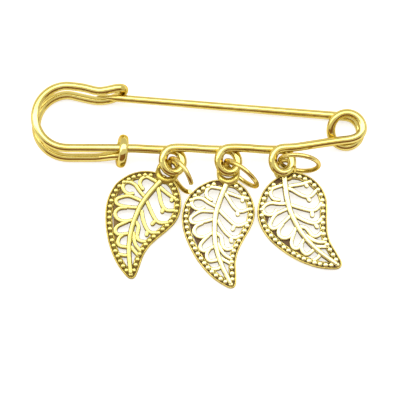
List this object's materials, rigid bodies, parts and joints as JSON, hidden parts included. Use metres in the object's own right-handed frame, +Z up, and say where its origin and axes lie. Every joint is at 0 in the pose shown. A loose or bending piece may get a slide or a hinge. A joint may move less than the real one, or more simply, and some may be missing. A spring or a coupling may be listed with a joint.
{
  "type": "safety pin brooch",
  "caption": "Gold kilt pin bent from one wire with a coiled spring, a rounded head and hook, hanging loops, jump rings and pierced beaded leaf charms.",
  "frame": {"origin": "middle of the brooch's plan on the surface it lies on", "axes": "+X along the pin from the round head to the spring coil, +Y from the leaf charms to the pin arm, +Z up from the surface"},
  "size_m": [0.0501, 0.0308, 0.0065],
  "materials": {
    "gold_wire": "polished gold plating",
    "pale_gold_ring": "polished gold plating",
    "antique_gold": "cast, antique gold with a dark brown patina in the recesses"
  },
  "bodies": {
    "pin": {"pin_wire": "gold_wire", "collar": "gold_wire", "jump_ring_1": "pale_gold_ring", "jump_ring_2": "pale_gold_ring", "jump_ring_3": "pale_gold_ring", "leaf_charm_1": "antique_gold", "leaf_charm_2": "antique_gold", "leaf_charm_3": "antique_gold"},
    "arm": {"pin_arm": "gold_wire"}
  },
  "joints": [
    {"name": "arm", "type": "hinge", "parent": "pin", "child": "arm", "pos_m": [0.02173, 0.00832, 0.00065], "axis": [0, 0, 1], "range_deg": [0, 6], "stiffness_Nm_per_rad": 0.08, "springref_deg": -20.05}
  ]
}
